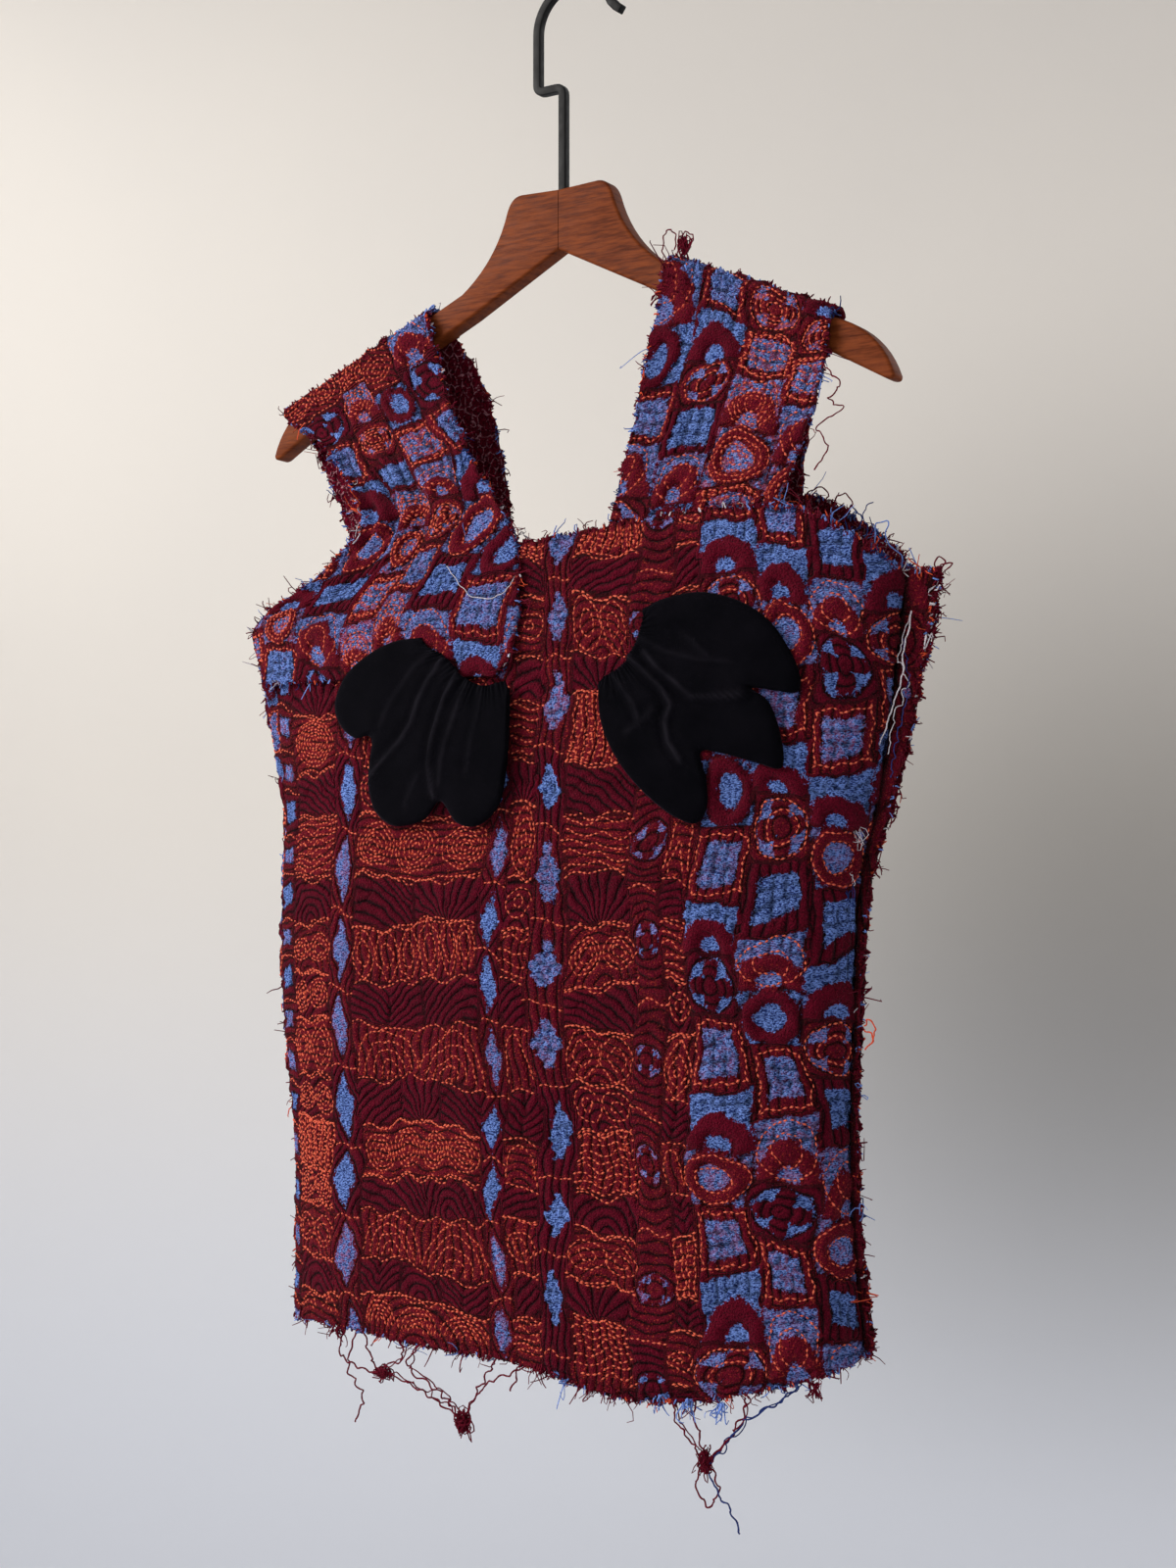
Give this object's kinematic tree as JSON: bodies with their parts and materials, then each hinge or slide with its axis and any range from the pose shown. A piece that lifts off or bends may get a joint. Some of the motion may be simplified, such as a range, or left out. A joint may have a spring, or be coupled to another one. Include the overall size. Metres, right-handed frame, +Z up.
{
  "type": "vest top on a hanger",
  "caption": "Sleeveless quilted vest top with raw frayed edges and velvet petals, hanging by broad shoulder straps from a wooden hanger with a square steel hook.",
  "frame": {"origin": "the point inside the top of the hook that rests on a rail", "axes": "+Z up, the top's front faces -Y, +X is towards the wearer's left, along the hanger"},
  "size_m": [0.4608, 0.104, 0.853],
  "materials": {
    "quilted_cloth": "thick quilted jacquard, burgundy ground with blue motifs and orange-red running stitches",
    "loose_yarn": "frayed burgundy, orange-red and blue yarn ends",
    "velvet": "soft black velvet with gathers",
    "hanger_wood": "satin varnished red-brown hardwood",
    "hook_steel": "satin black square bar"
  },
  "bodies": {
    "root": {"hanger_right": "hanger_wood", "hanger_left": "hanger_wood", "hanger_hook": "hook_steel", "front_panel": "quilted_cloth", "back_panel": "quilted_cloth", "strap_right": "quilted_cloth", "strap_left": "quilted_cloth", "petals_left": "velvet", "petals_right": "velvet", "side_seam_right": "quilted_cloth", "side_seam_left": "quilted_cloth", "hem_fringe_front": "loose_yarn", "hem_fringe_back": "loose_yarn"}
  },
  "joints": []
}
